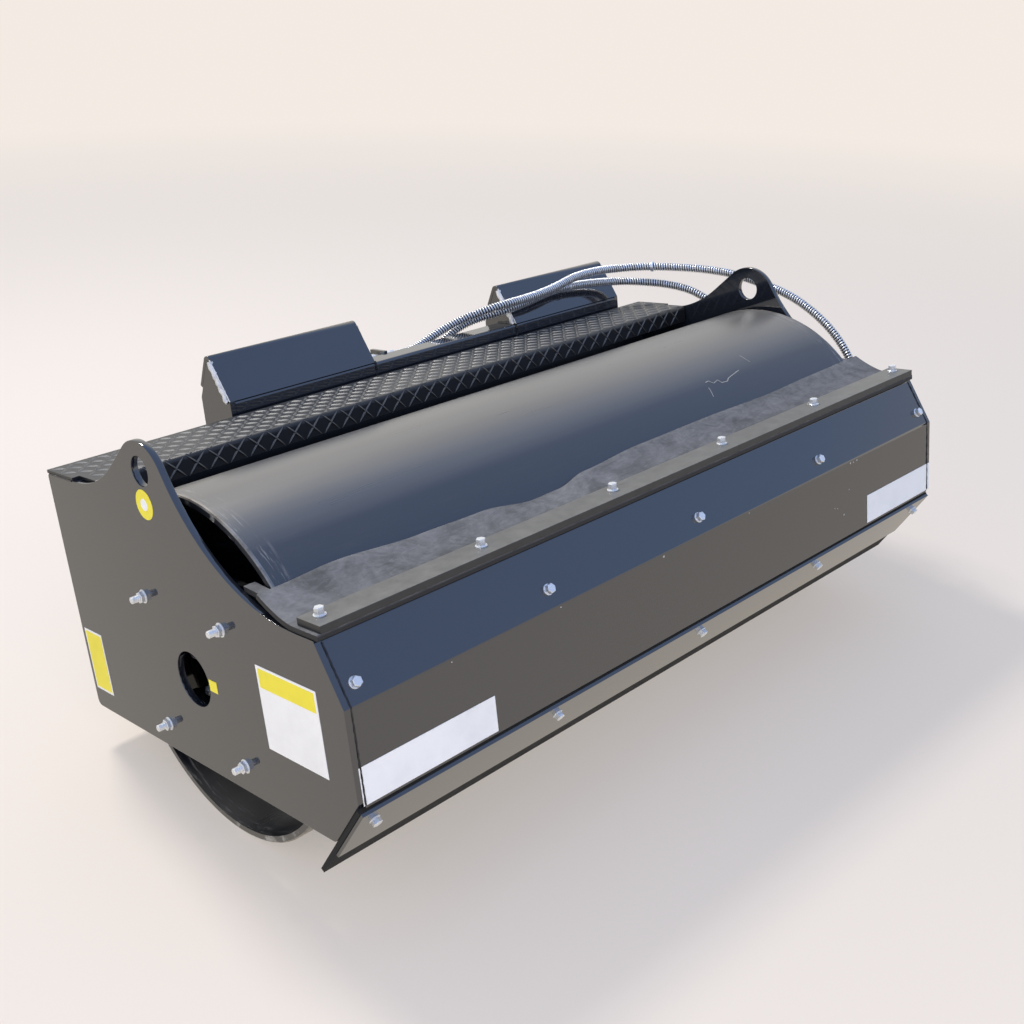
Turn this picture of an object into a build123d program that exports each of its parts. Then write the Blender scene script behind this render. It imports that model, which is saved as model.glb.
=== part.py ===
from build123d import *
from math import asin, atan2, cos, degrees, hypot, pi, radians, sin, tan
import os

os.makedirs("parts", exist_ok=True)

# Smooth drum vibratory roller for a skid steer loader.
# Everything is drawn level, with the drum's axis as X, +Y to the loader and +Z up.
# At the end the whole roller is leaned back until it stands on the drum and the coupler's feet.

# Overall sizes and clearances, all in millimetres
width = 1600
plate_thickness = 12
weld_gap = 0.2
running_gap = 0.3
tube_wall = 6
bolt_hole_radius = 6.5

# Drum
drum_radius = 300
drum_wall = 12
drum_rim_chamfer = 2
drum_side_gap = 22.5
head_inset = 75
head_thickness = 12

# End plates, set out from the drum
front_room = 113
rear_room = 92
deck_drop = 14
ground_clearance = 135
ear_height = 126.3
ear_apex_y = 21.3
ear_foot_y = 207.6
scoop_foot_y = -119.3
ear_hole_y = 45
ear_hole_rise = 42
ear_hole_radius = 25
shelf_set_back = 49
slope_foot_height = 72
front_edge_depth = 75
chamfer_foot_set_back = 73
sight_hole_radius = 47.5
motor_hole_radius = 78

# Rubber isolators and the carriers that they hold
isolator_spacing = 234
isolator_radius = 37.5
isolator_length = 50
isolator_disc_thickness = 5
isolator_waist_depth = 2.5
stud_radius = 8
carrier_width = 320
carrier_thickness = 12
carrier_corner_radius = 45

# Hubs and the bearing housings that turn on them
hub_flange_radius = 100
hub_flange_thickness = 14
hub_radius = 50
hub_bore_radius = 34
hub_length = 92
hub_seat_length = 14
housing_radius = 85
housing_flange_radius = 120
housing_flange_thickness = 12
housing_nose_length = 6
housing_inner_length = 30
cap_radius = 62
cap_thickness = 10
cap_edge = 4

# Exciter
shaft_radius = 26
drive_end_radius = 12
weight_radius = 125
weight_hub_radius = 42
weight_length = 70
weight_offset = 330

# Hydraulic motor on the right carrier
motor_flange_radius = 58
motor_flange_thickness = 14
motor_block_width = 104
motor_block_length = 104
motor_cover_width = 92
motor_cover_thickness = 12
motor_corner_radius = 14
motor_edge = 3
port_radius = 16
port_length = 14
port_distance = 86
front_port_z = -20
top_port_y = 30

# Front guard and front beam
sheet = 6
sheet_bend_radius = 9
shelf_depth = 62
guard_overhang = 10
guard_bolt_height = 98
guard_bolt_edge = 33
guard_bolt_count = 5
front_beam_depth = 64
front_beam_height = 90
front_beam_drop = 27

# Upper scraper
rubber_thickness = 10
rubber_overhang = 8
scraper_angle = 52.1
scraper_gap = 1.5
scraper_dip = 22.2
scraper_side_gap = 2
clamp_bar_width = 55
clamp_bar_thickness = 12
clamp_bar_overhang = 2
clamp_bar_end_gap = 8
clamp_bolt_edge = 32.5
clamp_bolt_count = 6

# Lower flap
flap_thickness = 8
flap_start = 16
flap_width = 188
flap_end_gap = 2
flap_clamp_thickness = 6
flap_clamp_width = 128
flap_bolt_drop = 34
flap_bolt_edge = 37
flap_bolt_count = 5
angle_leg = 50
angle_thickness = 8

# Tread deck
deck_depth = 159
deck_lip_height = 38
notch_depth = 63
notch_gap = 2

# Rear beams
upper_beam_depth = 100
upper_beam_height = 100
lower_beam_depth = 60
lower_beam_height = 100
lower_beam_rise = 10

# Quick coupler, set off to the right of the roller's middle
coupler_offset = 158
coupler_width = 1146
hook_width = 362
rib_thickness = 12
pad_thickness = 10
pad_drop = 20
box_depth = 60
box_height = 70
box_rise = 32
hook_sheet = 8
hook_bend_radius = 12
ridge_reach = 61
ridge_height = 98
hook_lip_reach = 101
hook_lip_height = 24
hook_root_drop = 31
face_thickness = 8
face_reach = 68
face_height = 54
guide_reach = 107
guide_shoulder = 53
rib_front_rise = 60
rib_nose_set_back = 4
rib_nose_drop = 10
rib_shoulder_set_back = 2
lock_drop = 435
ledge_thickness = 14
ledge_set_back = 6
lock_slot_length = 60
lock_slot_width = 24
lock_slot_offset = 410
lock_slot_gap = 6
foot_drop = 88
foot_depth = 58
foot_thickness = 12
foot_corner_radius = 6

# Hoses in their spring guards, from the couplings on the coupler to the motor.
# Each route is a list of points: how far along from the coupling to the port, then a place.
# Near the coupler the place is measured from the beam's front top edge, near the motor from the axis.
hose_radius = 10.5
bend_share = 0.45
hose_span = 782
bracket_thickness = 8
bracket_width = 50
bracket_height = 84
coupling_drop = 20
coupling_spacing = 36
coupling_reach = 90
coupling_front_length = 28
coupling_rear_length = 62
coupling_radius = 15
coupling_sleeve_radius = 17
coupling_sleeve_start = 8
coupling_sleeve_length = 30
coupling_tip_radius = 10
coupling_rib_gap = 11
upper_route_by_beam = [
    (62, 90, -20), (130, 83, 5), (194, 51, 33), (260, -7, 53), (352, -16, 56), (432, -16, 63),
    (508, -12, 77), (572, -15, 79), (639, -24, 76), (709, -71, 71), (744, -130, 66),
]
upper_route_by_motor = [
    (-16, 200, 378), (0, 120, 367), (5, 45, 346), (5, -20, 327), (3, -78, 300), (1, -135, 260),
    (-1, -175, 218), (-2, -203, 172), (-1, -222, 108), (0, -213, 52), (0, -179, 6), (0, -129, -20),
]
lower_route_by_beam = [
    (66, 90, -56), (140, 90, -24), (212, 65, 21), (294, 7, 35), (377, 3, 46),
    (455, 9, 54), (522, 6, 53), (587, 2, 48), (651, -10, 42), (704, -50, 34), (740, -115, 24),
]
lower_route_by_motor = [
    (-22, 220, 324), (-9, 150, 277), (-2, 98, 231), (0, 60, 181), (0, 30, 126),
]

# Places that follow from the sizes above
half = width / 2
inner_face = half - plate_thickness
drum_half = inner_face - drum_side_gap
drum_bore = drum_radius - drum_wall
head_face = drum_half - head_inset
carrier_face = inner_face - isolator_length
hub_face = carrier_face - carrier_thickness
plate_front = -(drum_radius + front_room)
plate_rear = drum_radius + rear_room
deck_bottom = drum_radius - deck_drop
plate_bottom = ground_clearance - drum_radius
tip_reach = drum_radius + scraper_gap
tip_y = -tip_reach * sin(radians(scraper_angle))
tip_z = tip_reach * cos(radians(scraper_angle))
shelf_z = tip_z - scraper_dip
shelf_front = plate_front + shelf_set_back
ear_hole_z = drum_radius + ear_hole_rise
side_plane = Plane.YZ
pieces = []


def keep(builder, label):
    """Name a finished piece and put it on the list that is written at the end."""
    builder.part.label = label
    pieces.append(builder.part)


def turned(section, y=0, z=0):
    """Revolve a closed section of (x, radius) points about the line along X through y and z."""
    with BuildPart() as builder:
        with BuildSketch(Plane.XY.offset(z)):
            with BuildLine():
                Polyline(*[(x, y + radius) for x, radius in section], close=True)
            make_face()
        revolve(axis=Axis((0, y, z), (1, 0, 0)))
    return builder


def bolt_row(edge, count):
    """Places of a row of bolts along X whose end bolts lie this far from the plates' faces."""
    return GridLocations((width - 2 * edge) / (count - 1), 1, count, 1)


def fitted_rounds(corners):
    """Rounds of a closed outline, each cut down where two would meet on a short edge."""
    points = [Vector(y, z) for y, z, wanted in corners]
    count = len(points)
    edges = [points[(i + 1) % count] - points[i] for i in range(count)]
    halves = [radians(edges[i - 1].get_angle(edges[i])) / 2 for i in range(count)]
    reaches = [corners[i][2] * tan(halves[i]) for i in range(count)]
    shares = []
    for i in range(count):
        before = edges[i - 1].length / max(reaches[i - 1] + reaches[i], 1)
        after = edges[i].length / max(reaches[i] + reaches[(i + 1) % count], 1)
        shares.append(min(1, 0.99 * before, 0.99 * after))
    return [corner[2] * share for corner, share in zip(corners, shares)]


def box_tube(front, top, depth, height, half_length, middle_x=0):
    """Box tube along X, set out from its front face and its top."""
    with BuildPart() as tube:
        with BuildSketch(side_plane.offset(middle_x)):
            with Locations((front + depth / 2, top - height / 2)):
                RectangleRounded(depth, height, tube_wall)
                Rectangle(depth - 2 * tube_wall, height - 2 * tube_wall, mode=Mode.SUBTRACT)
        extrude(amount=half_length, both=True)
    return tube


# End plates: one outline with its lifting ear, cut and drilled for each side
plate_outline = [
    (plate_rear, plate_bottom, 12),
    (plate_rear, deck_bottom, 8),
    (ear_foot_y, deck_bottom, 243),
    (ear_apex_y, drum_radius + ear_height, 69.4),
    (scoop_foot_y, shelf_z, 340),
    (shelf_front, shelf_z, 0),
    (plate_front, slope_foot_height, 0),
    (plate_front, -front_edge_depth, 0),
    (plate_front + chamfer_foot_set_back, plate_bottom, 12),
]
for side, name, axis_hole in ((-1, "left", sight_hole_radius), (1, "right", motor_hole_radius)):
    with BuildPart() as end_plate:
        with BuildSketch(side_plane.offset(side * (half + inner_face) / 2)):
            with BuildLine():
                FilletPolyline(
                    [(y, z) for y, z, wanted in plate_outline],
                    radius=fitted_rounds(plate_outline),
                    close=True,
                )
            make_face()
            with Locations((ear_hole_y, ear_hole_z)):
                Circle(ear_hole_radius, mode=Mode.SUBTRACT)
            Circle(axis_hole, mode=Mode.SUBTRACT)
            with GridLocations(isolator_spacing, isolator_spacing, 2, 2):
                Circle(stud_radius + running_gap, mode=Mode.SUBTRACT)
        extrude(amount=plate_thickness / 2, both=True)
    keep(end_plate, f"end_plate_{name}")

# Drum: an open shell with a recessed head at each end
with BuildPart() as drum_shell:
    with BuildSketch(side_plane):
        Circle(drum_radius)
        Circle(drum_bore, mode=Mode.SUBTRACT)
    extrude(amount=drum_half, both=True)
    rims = drum_shell.edges().filter_by(GeomType.CIRCLE).group_by(Axis.X)
    outer_rims = [rim.sort_by(SortBy.RADIUS)[-1] for rim in (rims[0], rims[-1])]
    chamfer(outer_rims, drum_rim_chamfer)
keep(drum_shell, "drum_shell")

for side, name in ((-1, "left"), (1, "right")):
    with BuildPart() as drum_head:
        with BuildSketch(side_plane.offset(side * (head_face - head_thickness / 2))):
            Circle(drum_bore - weld_gap)
            Circle(housing_radius + weld_gap, mode=Mode.SUBTRACT)
        extrude(amount=head_thickness / 2, both=True)
    keep(drum_head, f"drum_head_{name}")

    # Bearing housing bolted to the head, running on the hub
    flange_face = head_face + housing_flange_thickness
    nose_face = flange_face + housing_nose_length
    inner_end = head_face - housing_inner_length
    housing = turned([
        (side * nose_face, hub_radius + running_gap),
        (side * nose_face, housing_radius),
        (side * flange_face, housing_radius),
        (side * flange_face, housing_flange_radius),
        (side * head_face, housing_flange_radius),
        (side * head_face, housing_radius),
        (side * inner_end, housing_radius),
        (side * inner_end, hub_radius + running_gap),
    ])
    keep(housing, f"bearing_housing_{name}")

    # Hub with its flange on the carrier and a seat for the exciter shaft at its inner end
    hub_end = hub_face - hub_length
    hub = turned([
        (side * hub_face, hub_bore_radius),
        (side * hub_face, hub_flange_radius),
        (side * (hub_face - hub_flange_thickness), hub_flange_radius),
        (side * (hub_face - hub_flange_thickness), hub_radius),
        (side * hub_end, hub_radius),
        (side * hub_end, shaft_radius + running_gap),
        (side * (hub_end + hub_seat_length), shaft_radius + running_gap),
        (side * (hub_end + hub_seat_length), hub_bore_radius),
    ])
    keep(hub, f"hub_{name}")

    with BuildPart() as carrier:
        with BuildSketch(side_plane.offset(side * (carrier_face + hub_face) / 2)):
            RectangleRounded(carrier_width, carrier_width, carrier_corner_radius)
            Circle(hub_bore_radius, mode=Mode.SUBTRACT)
            with GridLocations(isolator_spacing, isolator_spacing, 2, 2):
                Circle(stud_radius + running_gap, mode=Mode.SUBTRACT)
        extrude(amount=carrier_thickness / 2, both=True)
    keep(carrier, f"carrier_{name}")

    # Four rubber isolators, each a waisted block between two discs with a stud at both ends
    near_disc = carrier_face + isolator_disc_thickness
    far_disc = inner_face - isolator_disc_thickness
    waist_radius = isolator_radius - isolator_waist_depth
    isolator_section = [
        (side * hub_face, 0),
        (side * hub_face, stud_radius),
        (side * carrier_face, stud_radius),
        (side * carrier_face, isolator_radius),
        (side * near_disc, isolator_radius),
        (side * near_disc, waist_radius),
        (side * far_disc, waist_radius),
        (side * far_disc, isolator_radius),
        (side * inner_face, isolator_radius),
        (side * inner_face, stud_radius),
        (side * half, stud_radius),
        (side * half, 0),
    ]
    reach = isolator_spacing / 2
    spots = [(-reach, -reach), (-reach, reach), (reach, -reach), (reach, reach)]
    for number, (y, z) in enumerate(spots, start=1):
        isolator = turned(isolator_section, y, z)
        keep(isolator, f"isolator_{name}_{number}")

# Hub cap behind the left sight hole
cap = turned([
    (-carrier_face, 0),
    (-carrier_face, cap_radius),
    (-carrier_face - cap_thickness + cap_edge, cap_radius),
    (-carrier_face - cap_thickness, cap_radius - cap_edge),
    (-carrier_face - cap_thickness, 0),
])
keep(cap, "hub_cap_left")

# Exciter shaft with two half round weights, and a thin end that the motor drives
with BuildPart() as exciter:
    with BuildSketch(side_plane):
        Circle(shaft_radius)
    extrude(amount=hub_face - 2 * hub_flange_thickness, both=True)
    with BuildSketch(side_plane):
        Circle(drive_end_radius)
    extrude(amount=carrier_face - running_gap)
    for side in (-1, 1):
        with BuildSketch(side_plane.offset(side * weight_offset)):
            Circle(weight_radius)
            with Locations((0, weight_radius / 2)):
                Rectangle(2 * weight_radius, weight_radius, mode=Mode.SUBTRACT)
            Circle(weight_hub_radius)
        extrude(amount=weight_length / 2, both=True)
keep(exciter, "exciter_shaft")

# Hydraulic motor that stands out through the right end plate, with a port to the front and one on top
block_start = carrier_face + motor_flange_thickness
block_end = block_start + motor_block_length
port_x = block_start + port_distance
with BuildPart() as motor:
    with BuildSketch(side_plane.offset(carrier_face)):
        Circle(motor_flange_radius)
    extrude(amount=motor_flange_thickness)
    with BuildSketch(side_plane.offset(block_start)):
        RectangleRounded(motor_block_width, motor_block_width, motor_corner_radius)
    extrude(amount=motor_block_length)
    with BuildSketch(side_plane.offset(block_end)):
        RectangleRounded(motor_cover_width, motor_cover_width, motor_corner_radius)
    extrude(amount=motor_cover_thickness)
    chamfer(motor.faces().sort_by(Axis.X)[-1].edges(), motor_edge)
    with BuildSketch(Plane.XZ.offset(motor_block_width / 2)):
        with Locations((port_x, front_port_z)):
            Circle(port_radius)
    extrude(amount=port_length)
    with BuildSketch(Plane.XY.offset(motor_block_width / 2)):
        with Locations((port_x, top_port_y)):
            Circle(port_radius)
    extrude(amount=port_length)
keep(motor, "hydraulic_motor")

# Front guard: shelf, slope and upright front folded from one sheet, drilled for its bolts
slope_run = shelf_front - plate_front
slope_rise = shelf_z - slope_foot_height
slope_bolt_y = plate_front + (guard_bolt_height - slope_foot_height) * slope_run / slope_rise
slope_plane = Plane(
    origin=(0, slope_bolt_y, guard_bolt_height), x_dir=(1, 0, 0), z_dir=(0, -slope_rise, slope_run)
)
clamp_front = shelf_front - rubber_overhang - clamp_bar_overhang
clamp_bolt_y = clamp_front + clamp_bar_width * 3 / 5
with BuildPart() as front_guard:
    with BuildSketch(side_plane):
        with BuildLine():
            FilletPolyline(
                [
                    (shelf_front + shelf_depth, shelf_z),
                    (shelf_front, shelf_z),
                    (plate_front, slope_foot_height),
                    (plate_front, -front_edge_depth - guard_overhang),
                ],
                radius=sheet_bend_radius,
            )
            offset(amount=sheet, side=Side.LEFT)
        make_face()
    extrude(amount=inner_face, both=True)
    with BuildSketch(slope_plane):
        with bolt_row(guard_bolt_edge, guard_bolt_count):
            Circle(bolt_hole_radius)
    extrude(amount=2 * sheet, both=True, mode=Mode.SUBTRACT)
    with BuildSketch(Plane.XY.offset(shelf_z)):
        with Locations((0, clamp_bolt_y)):
            with bolt_row(clamp_bolt_edge, clamp_bolt_count):
                Circle(bolt_hole_radius)
    extrude(amount=2 * sheet, both=True, mode=Mode.SUBTRACT)
keep(front_guard, "front_guard")

front_beam = box_tube(
    plate_front + sheet, slope_foot_height - front_beam_drop, front_beam_depth, front_beam_height, inner_face
)
keep(front_beam, "front_beam")

# Upper scraper: rubber that lies on the shelf, runs over the plates' edges and dips to the drum
rubber_fold_y = shelf_front + shelf_depth
rubber_front = shelf_front - rubber_overhang
rubber_top = shelf_z + rubber_thickness
clamp_back = clamp_front + clamp_bar_width
with BuildPart() as scraper:
    with BuildSketch(side_plane):
        with BuildLine():
            FilletPolyline(
                [(rubber_front, shelf_z), (rubber_fold_y, shelf_z), (tip_y, tip_z)],
                radius=shelf_depth / 2,
            )
            offset(amount=rubber_thickness, side=Side.LEFT)
        make_face()
    extrude(amount=inner_face - scraper_side_gap, both=True)
    with BuildSketch(Plane.XY.offset(shelf_z)):
        with Locations((0, (rubber_front + clamp_back) / 2)):
            Rectangle(width - 2 * scraper_side_gap, clamp_back - rubber_front)
    extrude(amount=rubber_thickness)
    with BuildSketch(Plane.XY.offset(shelf_z)):
        with Locations((0, clamp_bolt_y)):
            with bolt_row(clamp_bolt_edge, clamp_bolt_count):
                Circle(bolt_hole_radius)
    extrude(amount=rubber_thickness, mode=Mode.SUBTRACT)
keep(scraper, "upper_scraper_rubber")

with BuildPart() as clamp_bar:
    with BuildSketch(Plane.XY.offset(rubber_top)):
        with Locations((0, clamp_front + clamp_bar_width / 2)):
            Rectangle(width - 2 * clamp_bar_end_gap, clamp_bar_width)
        with Locations((0, clamp_bolt_y)):
            with bolt_row(clamp_bolt_edge, clamp_bolt_count):
                Circle(bolt_hole_radius, mode=Mode.SUBTRACT)
    extrude(amount=clamp_bar_thickness)
keep(clamp_bar, "upper_clamp_bar")

# Lower flap on the plates' front chamfer: angle inside, rubber outside, clamp plate over it
chamfer_drop = -front_edge_depth - plate_bottom
chamfer_plane = Plane(
    origin=(0, plate_front, -front_edge_depth),
    x_dir=(1, 0, 0),
    z_dir=(0, -chamfer_drop, -chamfer_foot_set_back),
)
flap_bolt_y = -(flap_start + flap_bolt_drop)
flap_layers = (
    ("lower_flap_rubber", 0, flap_thickness, flap_width, width - 2 * flap_end_gap),
    ("lower_clamp_plate", flap_thickness, flap_clamp_thickness, flap_clamp_width, width - 4 * flap_end_gap),
)
for name, start, thickness, deep, across in flap_layers:
    with BuildPart() as flap_layer:
        with BuildSketch(chamfer_plane.offset(start)):
            with Locations((0, -(flap_start + deep / 2))):
                Rectangle(across, deep)
            with Locations((0, flap_bolt_y)):
                with bolt_row(flap_bolt_edge, flap_bolt_count):
                    Circle(bolt_hole_radius, mode=Mode.SUBTRACT)
        extrude(amount=thickness)
    keep(flap_layer, name)

with BuildPart() as flap_angle:
    with BuildSketch(chamfer_plane):
        with Locations((0, flap_bolt_y)):
            Rectangle(2 * inner_face, angle_leg)
        with Locations((0, flap_bolt_y)):
            with bolt_row(flap_bolt_edge, flap_bolt_count):
                Circle(bolt_hole_radius, mode=Mode.SUBTRACT)
    extrude(amount=-angle_thickness)
    with BuildSketch(chamfer_plane):
        with Locations((0, flap_bolt_y - (angle_leg - angle_thickness) / 2)):
            Rectangle(2 * inner_face, angle_thickness)
    extrude(amount=-angle_leg)
keep(flap_angle, "lower_flap_angle")

# Tread deck: bent sheet on the plates' flat rear edges, notched round the ears
deck_top = deck_bottom + sheet
deck_front = plate_rear - deck_depth
with BuildPart() as deck:
    with BuildSketch(side_plane):
        with BuildLine():
            FilletPolyline(
                [(plate_rear, deck_top), (deck_front, deck_top), (deck_front, deck_top - deck_lip_height)],
                radius=sheet_bend_radius,
            )
            offset(amount=sheet, side=Side.LEFT)
        make_face()
    extrude(amount=half, both=True)
    with BuildSketch(Plane.XY.offset(deck_top)):
        notch_width = plate_thickness + notch_gap
        for side in (-1, 1):
            with Locations((side * (half - notch_width / 2), deck_front + notch_depth / 2)):
                Rectangle(notch_width, notch_depth)
    extrude(amount=deck_lip_height, both=True, mode=Mode.SUBTRACT)
keep(deck, "tread_deck")

# Rear beams between the plates, with a closing panel on their rear faces
beam_rear = plate_rear - sheet
upper_beam = box_tube(
    beam_rear - upper_beam_depth, deck_bottom, upper_beam_depth, upper_beam_height, inner_face
)
keep(upper_beam, "rear_beam_upper")
lower_beam_top = plate_bottom + lower_beam_rise + lower_beam_height
lower_beam = box_tube(
    beam_rear - lower_beam_depth, lower_beam_top, lower_beam_depth, lower_beam_height, inner_face
)
keep(lower_beam, "rear_beam_lower")

with BuildPart() as rear_panel:
    with BuildSketch(Plane.XZ.offset(-beam_rear)):
        with Locations((0, (plate_bottom + deck_bottom) / 2)):
            Rectangle(2 * inner_face, deck_bottom - plate_bottom)
    extrude(amount=-sheet)
keep(rear_panel, "rear_panel")

# Quick coupler: two hook units on an upper and a lower box beam
coupler_front = plate_rear + pad_thickness
box_top = deck_bottom + box_rise
ridge_y = coupler_front + ridge_reach
ridge_z = box_top + ridge_height
lip_y = coupler_front + hook_lip_reach
lip_z = box_top + hook_lip_height
face_y = coupler_front + face_reach
guide_y = coupler_front + guide_reach
ledge_top = ridge_z - hook_root_drop - lock_drop
lower_box_top = ledge_top - ledge_thickness
foot_z = lower_box_top - box_height - foot_drop
foot_top = foot_z + foot_thickness
unit_offset = (coupler_width - hook_width) / 2
unit_half = hook_width / 2 - rib_thickness
box_half = coupler_width / 2 - rib_thickness
for name, top in (("upper", box_top), ("lower", lower_box_top)):
    coupler_beam = box_tube(coupler_front, top, box_depth, box_height, box_half, coupler_offset)
    keep(coupler_beam, f"coupler_beam_{name}")

# Inner face of the folded hook, which the ribs stand under
outer_fold = [Vector(coupler_front, box_top), Vector(ridge_y, ridge_z), Vector(lip_y, lip_z)]
rise_way = (outer_fold[1] - outer_fold[0]).normalized()
fall_way = (outer_fold[2] - outer_fold[1]).normalized()
inward = Vector(rise_way.Y, -rise_way.X)
fold_shift = hook_sheet * tan(radians(rise_way.get_angle(fall_way)) / 2)
inner_ridge = outer_fold[1] + inward * hook_sheet - rise_way * fold_shift
inner_lip = outer_fold[2] + Vector(fall_way.Y, -fall_way.X) * hook_sheet
inner_foot_y = coupler_front + hook_sheet / inward.X

for side, name in ((-1, "left"), (1, "right")):
    unit_x = coupler_offset + side * unit_offset

    # Pad between the roller's rear panel and the coupler
    pad_top = deck_bottom - pad_drop
    pad_bottom = lower_box_top - box_height
    with BuildPart() as mount_pad:
        with BuildSketch(Plane.XZ.offset(-plate_rear)):
            with Locations((unit_x, (pad_top + pad_bottom) / 2)):
                Rectangle(hook_width, pad_top - pad_bottom)
        extrude(amount=-pad_thickness)
    keep(mount_pad, f"coupler_pad_{name}")

    # Folded hook: inclined front, ridge and the lip that hangs over the loader's top edge
    with BuildPart() as hook:
        with BuildSketch(side_plane.offset(unit_x)):
            with BuildLine():
                FilletPolyline(
                    [(coupler_front, box_top), (ridge_y, ridge_z), (lip_y, lip_z)], radius=hook_bend_radius
                )
                offset(amount=hook_sheet, side=Side.RIGHT)
            make_face()
        extrude(amount=hook_width / 2, both=True)
        split(bisect_by=Plane.XY.offset(box_top), keep=Keep.TOP)
    keep(hook, f"coupler_hook_{name}")

    # Upright face that the loader's plate pulls up against
    with BuildPart() as face:
        with BuildSketch(Plane.XZ.offset(-face_y)):
            with Locations((unit_x, (ledge_top + box_top + face_height) / 2)):
                Rectangle(2 * unit_half, box_top + face_height - ledge_top)
        extrude(amount=face_thickness)
    keep(face, f"coupler_face_{name}")

    # Ledge with the slot that takes the loader's lock pin
    ledge_back = guide_y - ledge_set_back
    slot_y = face_y + lock_slot_gap + lock_slot_width / 2
    with BuildPart() as ledge:
        with BuildSketch(Plane.XY.offset(ledge_top)):
            with Locations((unit_x, (coupler_front + ledge_back) / 2)):
                Rectangle(2 * unit_half, ledge_back - coupler_front)
            with Locations((coupler_offset + side * lock_slot_offset, slot_y)):
                SlotOverall(lock_slot_length, lock_slot_width, mode=Mode.SUBTRACT)
        extrude(amount=-ledge_thickness)
    keep(ledge, f"lock_ledge_{name}")

    # Two ribs a unit, from under the hook's fold down to the foot that the roller parks on
    rib_outline = [
        (coupler_front, foot_top + rib_front_rise, 0),
        (coupler_front, box_top, 0),
        (inner_foot_y, box_top, 0),
        (inner_ridge.X, inner_ridge.Y, hook_bend_radius - hook_sheet),
        (inner_lip.X, inner_lip.Y, 0),
        (lip_y - rib_nose_set_back, lip_z - rib_nose_drop, 0),
        (guide_y - rib_shoulder_set_back, box_top, 0),
        (guide_y, box_top - guide_shoulder, 0),
        (guide_y, foot_top, 0),
        (guide_y - foot_depth, foot_top, 0),
    ]
    for rib_side in (-1, 1):
        place = "outer" if rib_side == side else "inner"
        with BuildPart() as rib:
            with BuildSketch(side_plane.offset(unit_x + rib_side * (hook_width - rib_thickness) / 2)):
                with BuildLine():
                    FilletPolyline(
                        [(y, z) for y, z, wanted in rib_outline],
                        radius=fitted_rounds(rib_outline),
                        close=True,
                    )
                make_face()
                if place == "inner":
                    for top in (box_top, lower_box_top):
                        with Locations((coupler_front + box_depth / 2, top - box_height / 2)):
                            Rectangle(box_depth, box_height, mode=Mode.SUBTRACT)
            extrude(amount=rib_thickness / 2, both=True)
        keep(rib, f"coupler_rib_{name}_{place}")

    # Skid foot under each unit's ribs, with its lower edges rounded
    with BuildPart() as foot:
        with BuildSketch(side_plane.offset(unit_x)) as foot_section:
            with Locations((guide_y - foot_depth / 2, foot_z + foot_thickness / 2)):
                Rectangle(foot_depth, foot_thickness)
            fillet(foot_section.vertices().group_by(Axis.Y)[0], foot_corner_radius)
        extrude(amount=hook_width / 2, both=True)
    keep(foot, f"coupler_foot_{name}")

# Bracket on the coupler's upper beam that carries the two hydraulic couplings
bracket_rear = coupler_front + box_depth
inner_rib_face = coupler_offset - coupler_width / 2 + hook_width
coupling_rear = inner_rib_face + coupling_rib_gap
bracket_offset = coupling_rear + coupling_rear_length
coupling_y = coupler_front + coupling_reach
upper_coupling_z = box_top - coupling_drop
lower_coupling_z = upper_coupling_z - coupling_spacing
with BuildPart() as bracket:
    with BuildSketch(side_plane.offset(bracket_offset)):
        with Locations((bracket_rear + bracket_width / 2, (upper_coupling_z + lower_coupling_z) / 2)):
            Rectangle(bracket_width, bracket_height)
        with Locations((coupling_y, upper_coupling_z), (coupling_y, lower_coupling_z)):
            Circle(coupling_radius + running_gap, mode=Mode.SUBTRACT)
    extrude(amount=bracket_thickness)
keep(bracket, "coupling_bracket")

coupling_end = bracket_offset + bracket_thickness + coupling_front_length
sleeve_front = bracket_offset - coupling_sleeve_start
sleeve_rear = sleeve_front - coupling_sleeve_length
coupling_section = [
    (coupling_end, 0),
    (coupling_end, coupling_radius),
    (sleeve_front, coupling_radius),
    (sleeve_front, coupling_sleeve_radius),
    (sleeve_rear, coupling_sleeve_radius),
    (sleeve_rear, coupling_tip_radius),
    (coupling_rear, coupling_tip_radius),
    (coupling_rear, 0),
]
for name, height in (("upper", upper_coupling_z), ("lower", lower_coupling_z)):
    coupling = turned(coupling_section, coupling_y, height)
    keep(coupling, f"hydraulic_coupling_{name}")


def hose(name, start, by_beam, by_motor, end):
    """Sweep a hose along straight runs joined by arcs, and print its smallest bend and its length."""
    stretch = (port_x - coupling_end) / hose_span
    beam_places = [(coupling_end + x * stretch, coupler_front + y, box_top + z) for x, y, z in by_beam]
    motor_places = [(port_x + x, y, z) for x, y, z in by_motor]
    points = [Vector(*place) for place in [start, *beam_places, *motor_places, end]]
    radii = []
    for before, corner, after in zip(points, points[1:], points[2:]):
        run_in = corner - before
        run_out = after - corner
        half_turn = radians(run_in.get_angle(run_out)) / 2
        radii.append(bend_share * min(run_in.length, run_out.length) / tan(half_turn))
    with BuildPart() as tube:
        with BuildLine() as route:
            FilletPolyline(*points, radius=radii)
        with BuildSketch(Plane(origin=points[0], z_dir=points[1] - points[0])):
            Circle(hose_radius)
        sweep(path=route.wires()[0])
    keep(tube, f"hose_{name}")
    length = route.wires()[0].length
    print(f"hose_{name}: bends of {min(radii):.0f} mm and more, {length:.0f} mm long,",
          f"volume over section {tube.part.volume / (pi * hose_radius ** 2):.0f} mm")


upper_start = (coupling_end, coupling_y, upper_coupling_z)
lower_start = (coupling_end, coupling_y, lower_coupling_z)
port_end = motor_block_width / 2 + port_length
hose("upper", upper_start, upper_route_by_beam, upper_route_by_motor, (port_x, -port_end, front_port_z))
hose("lower", lower_start, lower_route_by_beam, lower_route_by_motor, (port_x, top_port_y, port_end))

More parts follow.
